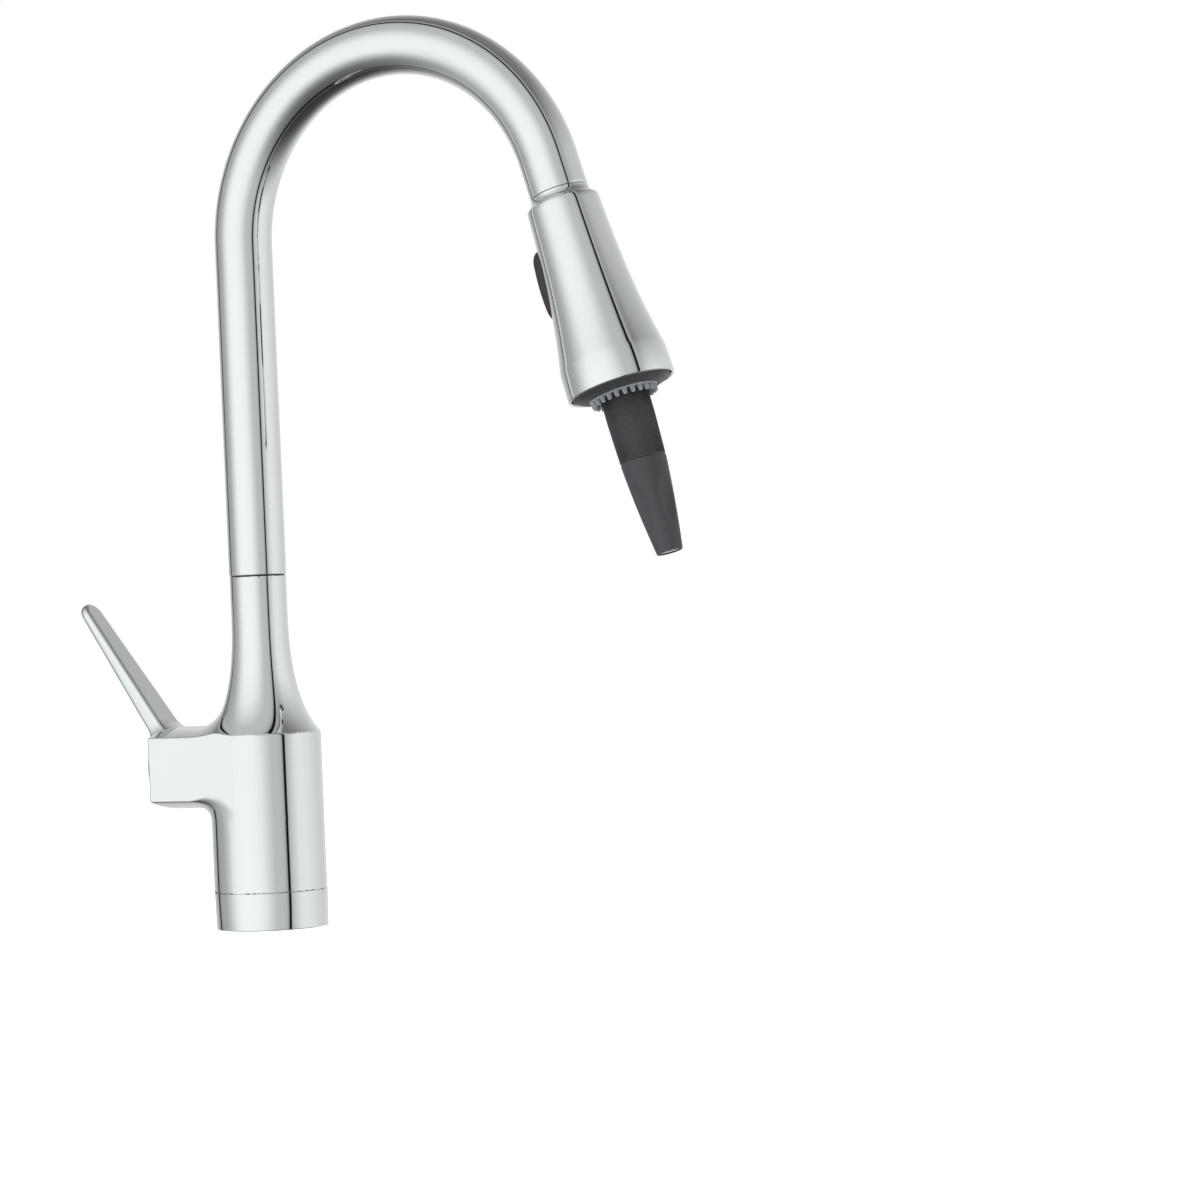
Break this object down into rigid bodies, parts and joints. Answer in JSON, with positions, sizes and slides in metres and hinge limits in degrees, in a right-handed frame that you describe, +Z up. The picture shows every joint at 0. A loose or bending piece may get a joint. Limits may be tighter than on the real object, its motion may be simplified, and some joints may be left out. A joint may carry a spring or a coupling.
{
  "type": "pull-down kitchen faucet",
  "caption": "Chrome single-handle pull-down kitchen faucet with a swivelling gooseneck spout, side hub lever and a docked spray head carrying an extended telescoping filling nozzle.",
  "frame": {"origin": "middle of the deck hole, on the deck's top surface, under the centre of the column", "axes": "+Z up along the column, +X from the column towards the spray head as stored; the hub and handle point to -X"},
  "size_m": [0.3104, 0.054, 0.493],
  "materials": {
    "chrome": "polished chrome plate",
    "brass": "machined brass",
    "steel": "machined stainless steel",
    "black_rubber": "moulded rubber",
    "black_plastic": "fine moulded texture",
    "toggle_plastic": "satin moulded",
    "nozzle_plastic": "satin moulded",
    "grey_silicone": "soft moulded silicone",
    "white_plastic": "natural acetal",
    "ceramic": "lapped alumina ceramic",
    "hose_cover": "braided nylon cover",
    "magnet_coat": "coated ferrite"
  },
  "bodies": {
    "deck_body": {"base_ring": "chrome", "base_gasket": "black_rubber", "body_casting": "chrome", "mounting_shank": "brass", "deck_washer_rubber": "black_rubber", "deck_washer_steel": "steel", "mounting_nut": "brass", "nut_screw_left": "steel", "nut_screw_right": "steel", "hot_stub": "brass", "cold_stub": "brass", "outlet_stub": "brass", "swivel_bush_lower": "white_plastic", "swivel_bush_upper": "white_plastic", "swivel_lock_screw": "steel", "cartridge_seal": "black_rubber", "cartridge_cup": "white_plastic", "ceramic_disc_fixed": "ceramic", "cartridge_nut": "brass", "handle_bonnet": "chrome"},
    "spout": {"spout_tube": "chrome", "spout_adapter": "brass", "friction_ring": "black_rubber", "pull_hose": "hose_cover", "hose_coupling": "white_plastic", "dock_collar": "black_plastic", "dock_magnet": "magnet_coat"},
    "mixer": {"mixing_yoke": "white_plastic", "stem_pin": "steel"},
    "lever": {"handle": "chrome", "cartridge_stem": "steel", "stem_adapter": "white_plastic", "handle_set_screw": "steel", "index_plug": "black_plastic"},
    "disc": {"ceramic_disc_moving": "ceramic", "disc_carrier": "white_plastic"},
    "head": {"head_shell": "chrome", "head_core": "black_plastic", "inlet_stem": "white_plastic", "stem_o_ring": "black_rubber", "check_valve": "white_plastic", "hose_ferrule": "steel", "toggle_pin": "steel", "face_plate": "black_plastic", "nub_ring": "grey_silicone", "nozzle_guide": "black_plastic", "telescope_tube": "white_plastic"},
    "toggle": {"toggle": "toggle_plastic"},
    "spool": {"diverter_spool": "white_plastic"},
    "nozzle": {"nozzle_sleeve": "nozzle_plastic", "nozzle_seal": "black_rubber", "nozzle_tip": "nozzle_plastic", "tip_spray_plate": "steel"}
  },
  "joints": [
    {"name": "spout_swivel", "type": "hinge", "parent": "deck_body", "child": "spout", "pos_m": [0, 0, 0.1565], "axis": [0, 0, 1], "range_deg": [-90, 90]},
    {"name": "handle_temperature", "type": "hinge", "parent": "deck_body", "child": "mixer", "pos_m": [-0.042, 0, 0.0719], "axis": [-1, 0, 0], "range_deg": [-45, 45]},
    {"name": "handle_flow", "type": "hinge", "parent": "mixer", "child": "lever", "pos_m": [-0.042, 0, 0.0719], "axis": [0, -1, 0], "range_deg": [0, 18]},
    {"name": "disc_slide", "type": "slide", "parent": "mixer", "child": "disc", "axis": [0, 0, 1], "range_m": [0, 0.00585]},
    {"name": "head_pull", "type": "slide", "parent": "spout", "child": "head", "axis": [0.294, 0, -0.9558], "range_m": [0, 0.15]},
    {"name": "toggle_rock", "type": "hinge", "parent": "head", "child": "toggle", "pos_m": [0.1569, 0, 0.27412], "axis": [0, 1, 0], "range_deg": [-6, 6]},
    {"name": "spool_slide", "type": "slide", "parent": "head", "child": "spool", "axis": [0.294, 0, -0.9558], "range_m": [-0.0006, 0.0006]},
    {"name": "nozzle_telescope", "type": "slide", "parent": "head", "child": "nozzle", "axis": [0.2656, 0, -0.9641], "range_m": [-0.058, 0]}
  ],
  "couplings": [
    {"joint": "disc_slide", "follows": "handle_flow", "m_per_rad": 0.0185},
    {"joint": "spool_slide", "follows": "toggle_rock", "m_per_rad": 0.005}
  ]
}
